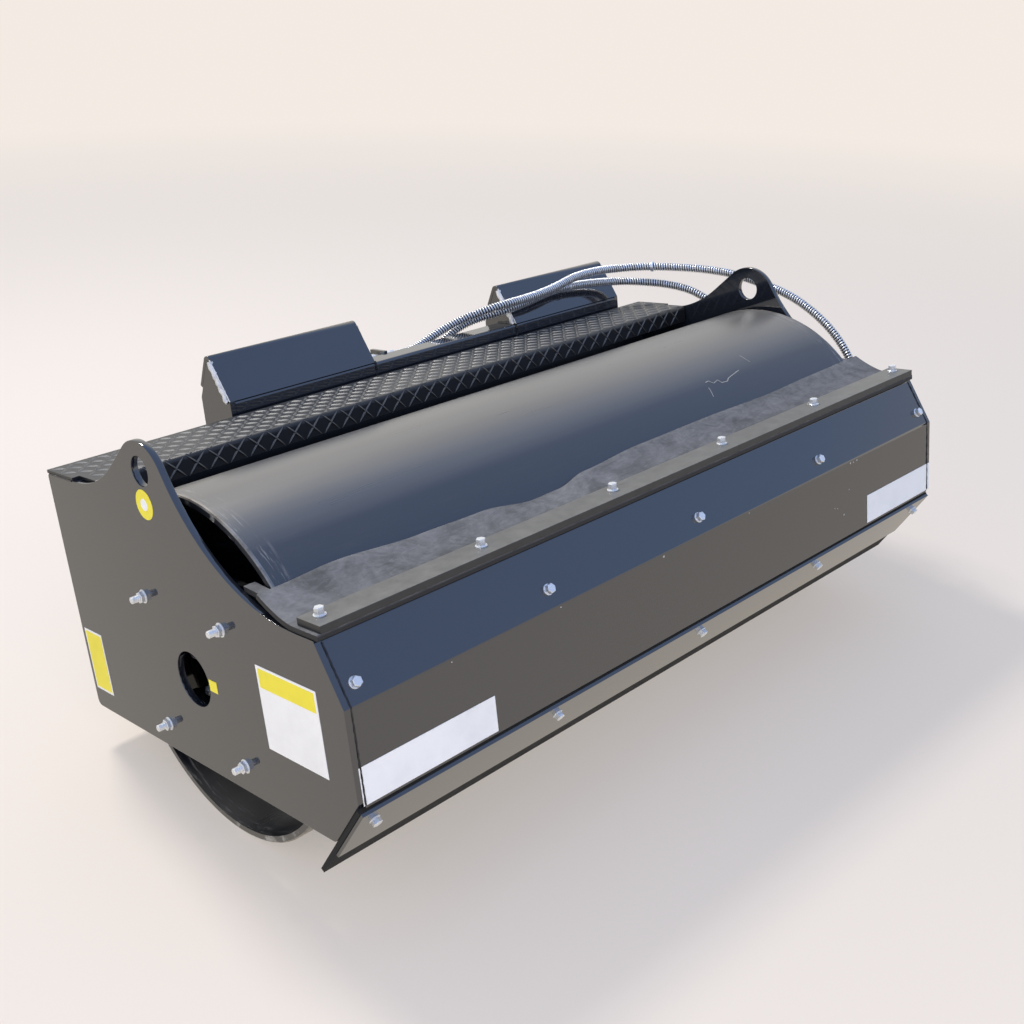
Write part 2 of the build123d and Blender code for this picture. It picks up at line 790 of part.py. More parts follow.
# Lean back about the drum's axis until drum and feet touch one floor.
# The exciter's weights hang plumb, so its shaft is the one piece that isn't turned.
foot_distance = hypot(guide_y, foot_z)
lean = degrees(asin(drum_radius / foot_distance) - atan2(-foot_z, guide_y))
leaned = []
for piece in pieces:
    turn = 0 if piece.label == "exciter_shaft" else -lean
    placed = piece.moved(Location((0, 0, 0), (turn, 0, 0)))
    placed.label = piece.label
    leaned.append(placed)

# The origin is the middle of the underside, hoses left out
boxes = [piece.bounding_box() for piece in leaned if not piece.label.startswith("hose_")]
low = [min(getattr(box.min, axis) for box in boxes) for axis in "XYZ"]
high = [max(getattr(box.max, axis) for box in boxes) for axis in "XYZ"]
to_origin = Location((-(low[0] + high[0]) / 2, -(low[1] + high[1]) / 2, drum_radius))
print("lean back, degrees:", round(lean, 4))
print("moved by, mm:", to_origin.position)
for piece in leaned:
    placed = piece.moved(to_origin)
    placed.label = piece.label
    export_step(placed, f"parts/{piece.label}.step")
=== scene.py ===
"""Looks for the vibratory roller attachment: finishes, hoses, rubber, bolts, tread ribs, signs and welds.

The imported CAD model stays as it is. Everything here is set out in the machine's own level frame,
in millimetres: X along the drum to the motor's end, Y to the loader, Z up, and zero on the
drum's axis. PARKED then leans it back and puts it where the CAD model stands, in metres.
"""

from math import cos, pi, radians, sin

import bmesh
import bpy
from bpy.props import FloatProperty, FloatVectorProperty, IntProperty, PointerProperty
from mathutils import Matrix, Vector


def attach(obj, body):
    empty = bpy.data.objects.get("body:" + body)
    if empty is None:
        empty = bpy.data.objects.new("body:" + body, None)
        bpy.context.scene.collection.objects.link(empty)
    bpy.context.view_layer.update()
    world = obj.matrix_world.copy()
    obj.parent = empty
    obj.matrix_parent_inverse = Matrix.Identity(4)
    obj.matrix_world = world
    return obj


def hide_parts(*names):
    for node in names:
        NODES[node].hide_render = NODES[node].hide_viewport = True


bl_info = {
    "name": "Vibratory roller looks",
    "version": (1, 0, 0),
    "blender": (4, 5, 0),
    "location": "View3D > Sidebar > Roller",
    "description": "Dresses the packed roller: finishes, hoses, rubber, bolts, tread ribs, signs and welds",
    "category": "Object",
}

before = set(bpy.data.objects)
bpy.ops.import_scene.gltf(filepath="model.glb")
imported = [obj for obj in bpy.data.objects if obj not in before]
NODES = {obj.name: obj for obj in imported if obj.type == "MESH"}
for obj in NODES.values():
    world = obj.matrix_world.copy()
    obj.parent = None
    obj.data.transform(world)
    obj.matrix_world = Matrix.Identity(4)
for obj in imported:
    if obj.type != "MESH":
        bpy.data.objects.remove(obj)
FINISHES = {}

# How the machine stands when it is parked on its drum and its feet
LEAN_DEG = 9.1358
STAND = Vector((-34.0, -66.4022, 300.0))
MM = 0.001
LEAN = Matrix.Rotation(radians(-LEAN_DEG), 4, "X")
PARKED = Matrix.Translation(STAND * MM) @ LEAN @ Matrix.Scale(MM, 4)

# Places that the CAD model fixes
HALF_WIDTH = 800
INNER_FACE = 788
DRUM_RADIUS = 300
DRUM_HALF = 765.5
CARRIER_FACE = 738
HEAD_FACE = 690.5
PLATE_FRONT = -413
PLATE_REAR = 392
SLOPE_FOOT = (-413, 72)
SHELF_FRONT = -364
SHELF_TOP = 163.01
RUBBER_TOP = SHELF_TOP + 10
DECK_TOP = 292
DECK_FRONT = 233
COUPLER_X = 158
HOOK_OFFSET = 392
HOOK_WIDTH = 362
SIDES = ((-1, "left"), (1, "right"))

# The photo's camera in the machine's own frame: its place, its axes and its lens in mm
CAMERA_SPOT = Vector((-1643.6, -1698.5, 850.1))
CAMERA_RIGHT = Vector((0.70914, -0.69877, -0.09396))
CAMERA_DOWN = Vector((-0.29132, -0.16904, -0.94157))
CAMERA_AHEAD = Vector((0.64206, 0.69508, -0.32344))
CAMERA_LENS = 43.924

# The pale background, as the camera sees it
PALE = (0.90, 0.83, 0.77, 1)

# Finish of a CAD node by how its name starts; a node that isn't listed has gloss paint
NODE_FINISHES = (
    ("isolator", "isolator_rubber"),
    ("hub_", "machined"),
    ("bearing_housing", "machined"),
    ("exciter", "machined"),
    ("hydraulic_coupling", "zinc"),
    ("hose_", "hose_rubber"),
    ("lower_flap_rubber", "flap_rubber"),
    ("hydraulic_motor", "cast_iron"),
    ("tread_deck", "tread_paint"),
    ("upper_clamp_bar", "bar_paint"),
    ("drum_shell", "drum_paint"),
)

# Width of the rounded edges of the plates, in mm, by how their names start
EDGE_WIDTHS = (
    (("end_plate", "coupler_rib"), 0.9),
    (("coupler_hook", "coupler_face", "coupler_foot", "upper_clamp"), 0.8),
    (("front_guard", "tread_deck", "lower_clamp", "rear_panel", "lock_ledge"), 0.5),
)

# Bolts: radius of the thread, radius of the washer, height of the hexagon, length of the stud over it
GUARD_BOLT = (4.9, 9.4, 9.5, 0.0)
CLAMP_BAR_BOLT = (4.6, 10.0, 11.0, 0.0)
LOWER_CLAMP_BOLT = (4.8, 9.5, 8.5, 0.0)
ISOLATOR_NUT = (6.0, 12.0, 7.5, 14.5)
HOUSING_BOLT = (5.0, 9.5, 6.5, 0.0)
HUB_BOLT = (6.0, 11.0, 8.0, 4.0)
WASHER_THICKNESS = 1.7
THREAD_PITCH = 1.75

# Weld runs across X, as their two (Y, Z) ends; HOOK_EDGE is the line where the hook's paint has chipped
GUARD_JOINTS = (((-366.5, 158.3), (-412.4, 72.0)), ((-412.4, 72.0), (-413.2, -80.0)))
PANEL_JOINT = ((392, -150), (392, 276))
DECK_JOINT = ((300, 285.6), (382, 285.6))
HOOK_JOINT = ((410.4, 316.5), (453.5, 392.5))
HOOK_EDGE = ((402.3, 318.8), (451.8, 397.4))
RIB_JOINT = ((402.5, -132), (402.5, 246))
PAD_JOINT = ((391.5, -132), (391.5, 264))
FOOT_JOINT = ((452, -210), (508, -210))

# Welds along the top and the foot of each pad, as (Y, Z), and the lower and upper Z of the coupler's beams
PAD_ENDS = ((391.8, 266.5), (391.8, -134.5))
BEAM_HEIGHTS = ((-134, -64), (248, 318))

# Hoses: outer radius of the spring guard, points in each of its turns, reach of a crimped end
GUARD_RADIUS = 10.5
TURN_POINTS = 12
FITTING_REACH = 44

# The hoses' routes, as the CAD model has them
UPPER_ROUTE = [
    (56, 492, 298), (118, 492, 298), (186, 485, 323), (250, 453, 351), (316, 395, 371),
    (408, 386, 374), (488, 386, 381), (564, 390, 395), (628, 387, 397), (695, 378, 394),
    (765, 331, 389), (800, 272, 384), (822, 200, 378), (838, 120, 367), (843, 45, 346),
    (843, -20, 327), (841, -78, 300), (839, -135, 260), (837, -175, 218), (836, -203, 172),
    (837, -222, 108), (838, -213, 52), (838, -179, 6), (838, -129, -20), (838, -66, -20),
]
LOWER_ROUTE = [
    (56, 492, 262), (122, 492, 262), (196, 492, 294), (268, 467, 339), (350, 409, 353),
    (433, 405, 364), (511, 411, 372), (578, 408, 371), (643, 404, 366), (707, 392, 360),
    (760, 352, 352), (796, 287, 342), (816, 220, 324), (829, 150, 277), (836, 98, 231),
    (838, 60, 181), (838, 30, 126), (838, 30, 66),
]

# Where the scraper's rear edge lies on the drum: place along X, and degrees round from the top
RUBBER_EDGE = [
    (-800, 49.9), (-766, 49.9), (-665, 49.1), (-496, 51.3), (-369, 51.9), (-251, 55.0), (-188, 54.8),
    (-117, 52.2), (33, 50.6), (240, 50.4), (445, 51.0), (620, 50.2), (767, 49.7), (800, 49.7),
]


class Sizes(bpy.types.PropertyGroup):
    """Sizes and colours of the dressing that a user may change."""

    guard_pitch: FloatProperty(
        name="Guard pitch", description="Spacing of the turns of the hoses' spring guard, in mm", default=6.2
    )
    guard_wire: FloatProperty(
        name="Guard wire", description="Radius of the spring guard's wire, in mm", default=2.0
    )
    hose_radius: FloatProperty(
        name="Hose radius", description="Radius of the rubber hose inside its guard, in mm", default=8.2
    )
    rib_pitch: FloatProperty(
        name="Tread pitch", description="Spacing of the tread ribs, in mm", default=21.0
    )
    rib_length: FloatProperty(
        name="Rib length", description="Length of one tread rib, in mm", default=25.0
    )
    rib_height: FloatProperty(
        name="Rib height", description="Height of a tread rib over the sheet, in mm", default=2.0
    )
    rubber_columns: IntProperty(
        name="Rubber columns", description="Steps along the scraper's wavy edge", default=160
    )
    gloss: FloatProperty(
        name="Gloss", description="Index of refraction of the gloss paint", default=2.1
    )
    bead: FloatProperty(
        name="Weld bead", description="Radius of a weld bead, in mm", default=3.2
    )
    paint: FloatVectorProperty(
        name="Paint", description="Colour of the gloss paint", subtype="COLOR", size=4,
        default=(0.0100, 0.0120, 0.0180, 1), min=0, max=1,
    )
    sign_yellow: FloatVectorProperty(
        name="Sign yellow", description="Yellow of the signs", subtype="COLOR", size=4,
        default=(0.88, 0.76, 0.035, 1), min=0, max=1,
    )
    sign_white: FloatVectorProperty(
        name="Sign white", description="White of the plates and signs", subtype="COLOR", size=4,
        default=(0.88, 0.88, 0.87, 1), min=0, max=1,
    )
    floor: FloatVectorProperty(
        name="Floor", description="Colour of the pale floor", subtype="COLOR", size=4,
        default=(0.76, 0.68, 0.60, 1), min=0, max=1,
    )


class Value:
    """A socket whose sums add Math nodes, so that shader maths is written as maths."""

    def __init__(self, nodes, socket):
        self.nodes = nodes
        self.socket = socket

    def _sum(self, operation, first, second):
        return self.nodes.node("ShaderNodeMath", {0: first, 1: second}, operation=operation)

    def __add__(self, other):
        return self._sum("ADD", self, other)

    def __sub__(self, other):
        return self._sum("SUBTRACT", self, other)

    def __rsub__(self, other):
        return self._sum("SUBTRACT", other, self)

    def __mul__(self, other):
        return self._sum("MULTIPLY", self, other)

    __radd__ = __add__
    __rmul__ = __mul__


class Nodes:
    """A node tree whose nodes all come from one method."""

    def __init__(self, tree):
        self.tree = tree

    def node(self, kind, sockets=None, out=0, stops=None, **settings):
        """Add a node: its settings first, then the values or links of its sockets."""
        made = self.tree.nodes.new(kind)
        for name, value in settings.items():
            setattr(made, name, value)
        if stops:
            ramp = made.color_ramp.elements
            while len(ramp) < len(stops):
                ramp.new(0.5)
            for element, (place, colour) in zip(ramp, stops):
                element.position = place
                element.color = colour if isinstance(colour, tuple) else (colour, colour, colour, 1)
        for name, value in (sockets or {}).items():
            if isinstance(value, Value):
                self.tree.links.new(value.socket, made.inputs[name])
            else:
                made.inputs[name].default_value = value
        return Value(self, made.outputs[out])

    def ramp(self, value, *stops):
        """A grey or a colour read off stops along a value."""
        return self.node("ShaderNodeValToRGB", {0: value}, stops=stops)

    def glow(self, kind, colour, strength=1.0):
        """A light that a surface or the world gives off."""
        return self.node(kind, {"Color": colour, "Strength": strength})

    def choose(self, factor, first, second):
        """Blend two shaders."""
        return self.node("ShaderNodeMixShader", {0: factor, 1: first, 2: second})


class Finish(Nodes):
    """One material: a node tree round one Principled shader."""

    def __init__(self, name, **fixed):
        self.material = bpy.data.materials.new(f"{name}_finish")
        self.material.use_nodes = True
        super().__init__(self.material.node_tree)
        self.shader = self.tree.nodes["Principled BSDF"]
        for socket, value in fixed.items():
            self.shader.inputs[socket.replace("_", " ")].default_value = value

    def place(self, scale=(1, 1, 1), turn=(0, 0, 0)):
        """Object coordinates, stretched and turned, in metres."""
        spot = self.node("ShaderNodeTexCoord", out="Object")
        return self.node("ShaderNodeMapping", {"Vector": spot, "Rotation": turn, "Scale": scale})

    def noise(self, place, scale, detail=3.0, roughness=0.5, distortion=0.0):
        """Soft random values about one half."""
        return self.node("ShaderNodeTexNoise", {
            "Vector": place, "Scale": scale, "Detail": detail,
            "Roughness": roughness, "Distortion": distortion,
        })

    def mix(self, factor, first, second):
        """Blend two colours."""
        return self.node("ShaderNodeMix", {0: factor, 6: first, 7: second}, out=2, data_type="RGBA")

    def up(self):
        """How far a face looks up, from 0 to 1."""
        normal = self.node("ShaderNodeNewGeometry", out="Normal")
        height = self.node("ShaderNodeSeparateXYZ", {0: normal}, out="Z")
        return self.node("ShaderNodeMath", {0: height, 1: 0.0}, operation="MAXIMUM")

    def bump(self, height, strength, distance=0.001):
        """A normal from a height."""
        return self.node("ShaderNodeBump", {"Strength": strength, "Distance": distance, "Height": height})

    def wear(self, **links):
        """Link values to the shader's own sockets and hand back the finished material."""
        for name, value in links.items():
            self.tree.links.new(value.socket, self.shader.inputs[name.replace("_", " ")])
        return self.material


def gloss_paint(sizes):
    """Thick black gloss paint with a faint orange peel, smears and a little dust."""
    finish = Finish("gloss_paint", IOR=sizes.gloss)
    place = finish.place()
    smear = finish.noise(finish.place(scale=(1, 1, 3)), 3.0, 4.0, 0.6, 0.6)
    grain = finish.noise(place, 60.0, 6.0, 0.7)
    paler_where_up = finish.ramp(smear * 0.6 + grain * 0.4, (0.50, 0.0), (0.75, 1.0)) * finish.up()
    peel = finish.noise(place, 220.0, 1.0)
    colour = finish.mix(paler_where_up * 0.04, tuple(sizes.paint), (0.16, 0.145, 0.125, 1))
    rough = finish.ramp(smear, (0.35, 0.03), (0.72, 0.09)) + paler_where_up * 0.06
    return finish.wear(Base_Color=colour, Roughness=rough, Normal=finish.bump(peel, 0.012, 0.0003))


def matt_paint(name, ior, rough, dust_and_top_light):
    """Black paint that has lost its gloss, lighter where it faces up: dust, and painted sunlight on its tops.
    """
    finish = Finish(name, IOR=ior)
    soil = finish.noise(finish.place(), 34.0, 7.0, 0.72)
    # Tops are lightened by dust and by painted sunlight, as far as the last argument sets
    paler_where_up = finish.up() * finish.ramp(soil, (0.30, 0.55), (0.70, 1.0))
    colour = finish.mix(paler_where_up * dust_and_top_light, (0.010, 0.011, 0.014, 1), (0.165, 0.160, 0.145, 1))
    dull = paler_where_up * 0.15 + rough
    return finish.wear(Base_Color=colour, Roughness=dull, Normal=finish.bump(soil, 0.06, 0.0004))


def drum_paint(sizes):
    """Black paint on the drum, rubbed dull in bands along its length and scuffed bare near its rims; its top
    band is lighter, dust with painted sunlight.
    """
    finish = Finish("drum_paint", IOR=sizes.gloss - 0.1)
    bands = finish.noise(finish.place(scale=(0.10, 1.6, 1.6)), 9.0, 5.0, 0.6)
    scuffs = finish.noise(finish.place(scale=(0.5, 9, 9)), 26.0, 7.0, 0.72)
    grain = finish.noise(finish.place(), 240.0, 3.0)
    spot = finish.node("ShaderNodeTexCoord", out="Object")
    across = finish.node("ShaderNodeSeparateXYZ", {0: spot}, out="X") - STAND.x * MM
    rims = finish.ramp(across + DRUM_HALF * MM, (0.0, 1.0), (0.045, 0.0))
    rims = rims + finish.ramp(DRUM_HALF * MM - across, (0.0, 1.0), (0.045, 0.0))
    rubbed = finish.noise(finish.place(scale=(14, 1, 1)), 16.0, 6.0, 0.7)
    bare = finish.ramp(rubbed, (0.56, 0.0), (0.62, 1.0)) * rims
    worn = finish.ramp(scuffs, (0.56, 0.0), (0.74, 1.0)) * finish.ramp(bands, (0.35, 0.2), (0.7, 1.0))
    colour = finish.mix(worn * 0.22, (0.0110, 0.0125, 0.0170, 1), (0.11, 0.105, 0.10, 1))
    # The band along the drum's top is lightened: dust, with painted sunlight that stays on top as the drum
    # turns
    dust_and_top_sheen = finish.ramp(finish.up(), (0.88, 0.0), (1.0, 1.0)) * finish.ramp(bands, (0.3, 0.55), (0.75, 0.8))
    colour = finish.mix(dust_and_top_sheen, colour, (0.165, 0.155, 0.140, 1))
    colour = finish.mix(bare * 0.8, colour, (0.34, 0.33, 0.31, 1))
    rough = finish.ramp(bands, (0.3, 0.26), (0.75, 0.38)) + worn * 0.10
    relief = finish.bump(grain * 0.4 + scuffs * 0.6, 0.08, 0.0005)
    return finish.wear(Base_Color=colour, Roughness=rough, Normal=relief)


def scraper_rubber():
    """Belting rubber, mottled, with dusty swirls where it has been wiped; grey on its top from dust and
    painted sunlight, near black on its edges and front from painted shade.
    """
    finish = Finish("scraper_rubber", IOR=1.45)
    place = finish.place()
    blotch = finish.noise(place, 11.0, 5.0, 0.6, 1.4)
    swirl = finish.noise(finish.place(scale=(1, 2.2, 2.2), turn=(0, 0, 0.5)), 24.0, 8.0, 0.75, 2.2)
    grain = finish.noise(place, 420.0, 3.0, 0.7)
    # Tops grey with dust and painted sunlight; sides and the front edge stay black as painted shade
    dust_and_side_shade_mask = finish.ramp(finish.up(), (0.2, 0.0), (0.5, 1.0))
    paler_where_up = finish.ramp(blotch * 0.55 + swirl * 0.45, (0.38, 0.25), (0.66, 1.0)) * dust_and_side_shade_mask
    colour = finish.mix(paler_where_up, (0.022, 0.022, 0.023, 1), (0.205, 0.205, 0.210, 1))
    rough = finish.ramp(paler_where_up, (0.0, 0.62), (1.0, 0.85))
    relief = finish.bump(grain * 0.7 + swirl * 0.3, 0.25, 0.0008)
    return finish.wear(Base_Color=colour, Roughness=rough, Normal=relief)


def plain_rubber(name, colour, scale, ior=1.45):
    """Moulded black rubber."""
    finish = Finish(name, IOR=ior)
    grain = finish.noise(finish.place(), scale, 5.0, 0.6)
    shade = finish.mix(grain, colour, tuple(min(1, c * 1.9) for c in colour[:3]) + (1,))
    rough = finish.ramp(grain, (0.3, 0.55), (0.7, 0.75))
    return finish.wear(Base_Color=shade, Roughness=rough, Normal=finish.bump(grain, 0.15, 0.0006))


def bare_metal(name, colour, dull, low, high, scale, metallic=1.0):
    """Plated or machined steel with slight clouding."""
    finish = Finish(name, Metallic=metallic)
    place = finish.place()
    cloud = finish.noise(place, scale, 5.0, 0.65)
    grain = finish.noise(place, scale * 6, 2.0)
    shade = finish.mix(finish.ramp(cloud, (0.35, 0.0), (0.7, 1.0)), colour, dull)
    rough = finish.ramp(cloud, (0.3, low), (0.75, high))
    return finish.wear(Base_Color=shade, Roughness=rough, Normal=finish.bump(grain, 0.08, 0.0003))


def sign_film(name, colour):
    """Printed vinyl, slightly soiled."""
    finish = Finish(name, IOR=1.46)
    place = finish.place()
    soil = finish.ramp(finish.noise(place, 14.0, 6.0, 0.65), (0.45, 0.0), (0.85, 1.0))
    shade = finish.mix(soil * 0.30, colour, tuple(c * 0.62 for c in colour[:3]) + (1,))
    rough = finish.ramp(soil, (0.0, 0.30), (1.0, 0.50))
    relief = finish.bump(finish.noise(place, 120.0), 0.03, 0.0004)
    return finish.wear(Base_Color=shade, Roughness=rough, Normal=relief)


def weld_bead(name, colour, metallic, low, high):
    """A weld with the small ripples of its passes."""
    finish = Finish(name, Metallic=metallic)
    ripples = finish.noise(finish.place(), 330.0, 2.0, 0.5, 0.5)
    shade = finish.mix(ripples, colour, tuple(c * 0.6 for c in colour[:3]) + (1,))
    rough = finish.ramp(ripples, (0.3, low), (0.7, high))
    return finish.wear(Base_Color=shade, Roughness=rough, Normal=finish.bump(ripples, 0.7, 0.0015))


def make_finishes(sizes):
    """Every finish by name, made once."""
    FINISHES.update({
        "gloss_paint": gloss_paint(sizes),
        # A matt paint's last figure sets how far its tops are lightened by dust and painted sunlight: a
        # little on the deck, most on the ribs, as a painted highlight, and on the clamp bar
        "tread_paint": matt_paint("tread_paint", 1.5, 0.32, 0.12),
        "rib_paint": matt_paint("rib_paint", 1.7, 0.37, 1.1),
        "bar_paint": matt_paint("bar_paint", 1.5, 0.30, 1.0),
        "drum_paint": drum_paint(sizes),
        "scraper_rubber": scraper_rubber(),
        "hose_rubber": plain_rubber("hose_rubber", (0.008, 0.008, 0.008, 1), 300.0),
        "isolator_rubber": plain_rubber("isolator_rubber", (0.014, 0.014, 0.014, 1), 140.0),
        "flap_rubber": plain_rubber("flap_rubber", (0.020, 0.020, 0.020, 1), 60.0, 1.15),
        "zinc": bare_metal("zinc", (0.88, 0.90, 0.93, 1), (0.74, 0.76, 0.79, 1), 0.22, 0.36, 70.0, 0.7),
        "guard_wire": bare_metal(
            "guard_wire", (0.88, 0.90, 0.94, 1), (0.72, 0.74, 0.78, 1), 0.24, 0.38, 40.0, 0.8
        ),
        "machined": bare_metal("machined", (0.46, 0.46, 0.47, 1), (0.26, 0.25, 0.24, 1), 0.28, 0.45, 25.0),
        "worn_rim": bare_metal("worn_rim", (0.40, 0.38, 0.36, 1), (0.12, 0.11, 0.10, 1), 0.30, 0.48, 30.0),
        "cast_iron": plain_rubber("cast_iron", (0.012, 0.012, 0.013, 1), 210.0),
        "sign_yellow": sign_film("sign_yellow", tuple(sizes.sign_yellow)),
        "sign_white": sign_film("sign_white", tuple(sizes.sign_white)),
        "bright_weld": weld_bead("bright_weld", (0.90, 0.90, 0.91, 1), 0.2, 0.25, 0.45),
        "painted_weld": weld_bead("painted_weld", (0.012, 0.013, 0.017, 1), 0.0, 0.10, 0.22),
        "scuff": sign_film("scuff", (0.50, 0.48, 0.45, 1)),
    })


def finish_of(name):
    """A finish that was made before."""
    return FINISHES[name]


def show(mesh, name, finish, body="frame", slot=None, flat=35):
    """Make a piece of a mesh: its finish, its body and its shading."""
    mesh.materials.append(finish_of(finish))
    mesh.shade_smooth()
    mesh.set_sharp_from_angle(angle=radians(flat))
    piece = bpy.data.objects.new(name, mesh)
    bpy.context.scene.collection.objects.link(piece)
    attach(piece, body)
    return piece


def piece_of(bm, name, finish, **more):
    """Park a bmesh that is drawn in the machine's frame and make it a piece."""
    bm.transform(PARKED)
    mesh = bpy.data.meshes.new(name)
    bm.to_mesh(mesh)
    bm.free()
    return show(mesh, name, finish, **more)


def along(origin, direction, roll=0.0):
    """A placing that turns local Z to a direction."""
    turn = Vector(direction).to_track_quat("Z", "Y").to_matrix().to_4x4()
    return Matrix.Translation(Vector(origin)) @ turn @ Matrix.Rotation(roll, 4, "Z")


def add(bm, part, placing):
    """Put a finished part in its place in a larger piece."""
    part.transform(placing)
    copy = bpy.data.meshes.new("part")
    part.to_mesh(copy)
    part.free()
    bm.from_mesh(copy)
    bpy.data.meshes.remove(copy)


def turned(section, steps=24):
    """Spin a section of (radius, height) points round local Z."""
    part = bmesh.new()
    verts = [part.verts.new((radius, 0, height)) for radius, height in section]
    edges = [part.edges.new(pair) for pair in zip(verts, verts[1:])]
    bmesh.ops.spin(
        part, geom=verts + edges, axis=(0, 0, 1), cent=(0, 0, 0), angle=2 * pi, steps=steps, use_merge=True
    )
    bmesh.ops.remove_doubles(part, verts=part.verts, dist=0.001)
    bmesh.ops.recalc_face_normals(part, faces=part.faces)
    return part


def hexagon(radius, height, chamfer=1.0):
    """A hexagon with its top corners turned down, as on a nut or a bolt's head."""
    part = bmesh.new()
    bmesh.ops.create_cone(
        part, cap_ends=True, segments=6, radius1=radius, radius2=radius, depth=height,
        matrix=Matrix.Translation((0, 0, height / 2)),
    )
    rim = [edge for edge in part.edges if all(vert.co.z > height - 0.01 for vert in edge.verts)]
    bmesh.ops.bevel(part, geom=rim, offset=chamfer, segments=1, profile=0.5, affect="EDGES", material=-1)
    return part


def add_bolt(bm, origin, direction, kind, roll):
    """A washer and a hexagon, with the thread's end over it where there is a stud."""
    thread, washer, head, stud = kind
    placing = along(origin, direction, roll)
    top = WASHER_THICKNESS
    ring = [(0, 0), (washer, 0), (washer, top - 0.5), (washer - 0.5, top), (thread * 1.2, top), (0, top)]
    add(bm, turned(ring), placing)
    seat = top - 0.1
    add(bm, hexagon(thread * 1.72, head, 0.9), placing @ Matrix.Translation((0, 0, seat)))
    if stud:
        base = seat + head - 0.5
        turns = max(2, int(stud / THREAD_PITCH))
        rise = (stud - 1) / turns
        section = [(0, base), (thread, base)]
        for turn in range(turns):
            section += [(thread - 0.7, base + rise * (turn + 0.5)), (thread, base + rise * (turn + 1))]
        section += [(thread - 1.2, base + stud), (0, base + stud)]
        add(bm, turned(section, 16), placing)


def bolt_group(name, kind, places, direction, turn=0.0, first=0.0, body="frame"):
    """Like bolts as one piece, each turned on by the same angle from the one before."""
    bm = bmesh.new()
    for number, place in enumerate(places):
        add_bolt(bm, place, direction, kind, number * turn + first)
    piece_of(bm, name, "zinc", body=body, slot="zinc")


def bolt_circle(x, radius, first=0.0, count=8):
    """Places on a circle round the drum's axis."""
    angles = [2 * pi * number / count + first for number in range(count)]
    return [(x, radius * cos(angle), radius * sin(angle)) for angle in angles]


def route_points(route, name):
    """A hose's smooth line: a NURBS spline through the route, and the points that it gives."""
    line = bpy.data.curves.new(name, "CURVE")
    line.dimensions = "3D"
    spline = line.splines.new("NURBS")
    spline.points.add(len(route) - 1)
    for point, place in zip(spline.points, route):
        point.co = (*(PARKED @ Vector(place)), 1)
    spline.order_u = 3
    spline.use_endpoint_u = True
    spline.resolution_u = 12
    piece = bpy.data.objects.new(name, line)
    bpy.context.scene.collection.objects.link(piece)
    bpy.context.view_layer.update()
    bare = bpy.data.meshes.new_from_object(piece)
    points = [vert.co.copy() for vert in bare.vertices]
    bpy.data.meshes.remove(bare)
    return piece, points


def evenly(points, step):
    """Points and directions at equal steps along a smooth line."""
    spots = []
    left = 0.0
    for start, end in zip(points, points[1:]):
        run = end - start
        while left < run.length:
            spots.append((start + run * (left / run.length), run.normalized()))
            left += step
        left -= run.length
    return spots


def wound(points, radius, pitch):
    """Points of a helix round a smooth line."""
    side = Vector((0, 0, 1))
    helix = []
    for number, (spot, direction) in enumerate(evenly(points, pitch / TURN_POINTS)):
        side = (side - direction * side.dot(direction)).normalized()
        other = direction.cross(side)
        angle = 2 * pi * number / TURN_POINTS
        helix.append(spot + side * (radius * cos(angle)) + other * (radius * sin(angle)))
    return helix


def round_bar(name, points, radius):
    """A capped curve of round section along points."""
    line = bpy.data.curves.new(name, "CURVE")
    line.dimensions = "3D"
    line.bevel_depth = radius
    line.bevel_resolution = 1
    line.use_fill_caps = True
    spline = line.splines.new("POLY")
    spline.points.add(len(points) - 1)
    for point, place in zip(spline.points, points):
        point.co = (*place, 1)
    bar = bpy.data.objects.new(name, line)
    bpy.context.scene.collection.objects.link(bar)
    return bar


def wire(name, points, radius, finish, body="frame"):
    """A piece of round section along points, given in metres."""
    piece = round_bar(name, points, radius)
    piece.data.materials.append(finish_of(finish))
    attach(piece, body)
    return piece


class ROLLER_OT_finishes(bpy.types.Operator):
    """Make every finish and put one on each CAD node"""

    bl_idname = "roller.finishes"
    bl_label = "Finishes"

    def execute(self, context):
        make_finishes(context.scene.roller)
        for name, node in NODES.items():
            fitting = [finish for start, finish in NODE_FINISHES if name.startswith(start)]
            node.data.materials.clear()
            node.data.materials.append(finish_of(fitting[0] if fitting else "gloss_paint"))
        return {"FINISHED"}


def soften(name, width):
    """Round a CAD node's sharp edges a little, so that they catch the light.

    The node's mesh is loose triangles, so it is merged and its flats are joined before the bevel.
    """
    node = NODES[name]
    weld = node.modifiers.new("weld", "WELD")
    weld.merge_threshold = 0.00002
    flatten = node.modifiers.new("flatten", "DECIMATE")
    flatten.decimate_type = "DISSOLVE"
    flatten.angle_limit = radians(0.5)
    bevel = node.modifiers.new("bevel", "BEVEL")
    bevel.width = width * MM
    bevel.segments = 2
    bevel.limit_method = "ANGLE"
    bevel.angle_limit = radians(40)
    bevel.use_clamp_overlap = False
    bevel.harden_normals = True


class ROLLER_OT_edges(bpy.types.Operator):
    """Round the sharp edges of the plates"""

    bl_idname = "roller.edges"
    bl_label = "Plate edges"

    def execute(self, context):
        for name in NODES:
            for starts, width in EDGE_WIDTHS:
                if name.startswith(starts):
                    soften(name, width)
        return {"FINISHED"}


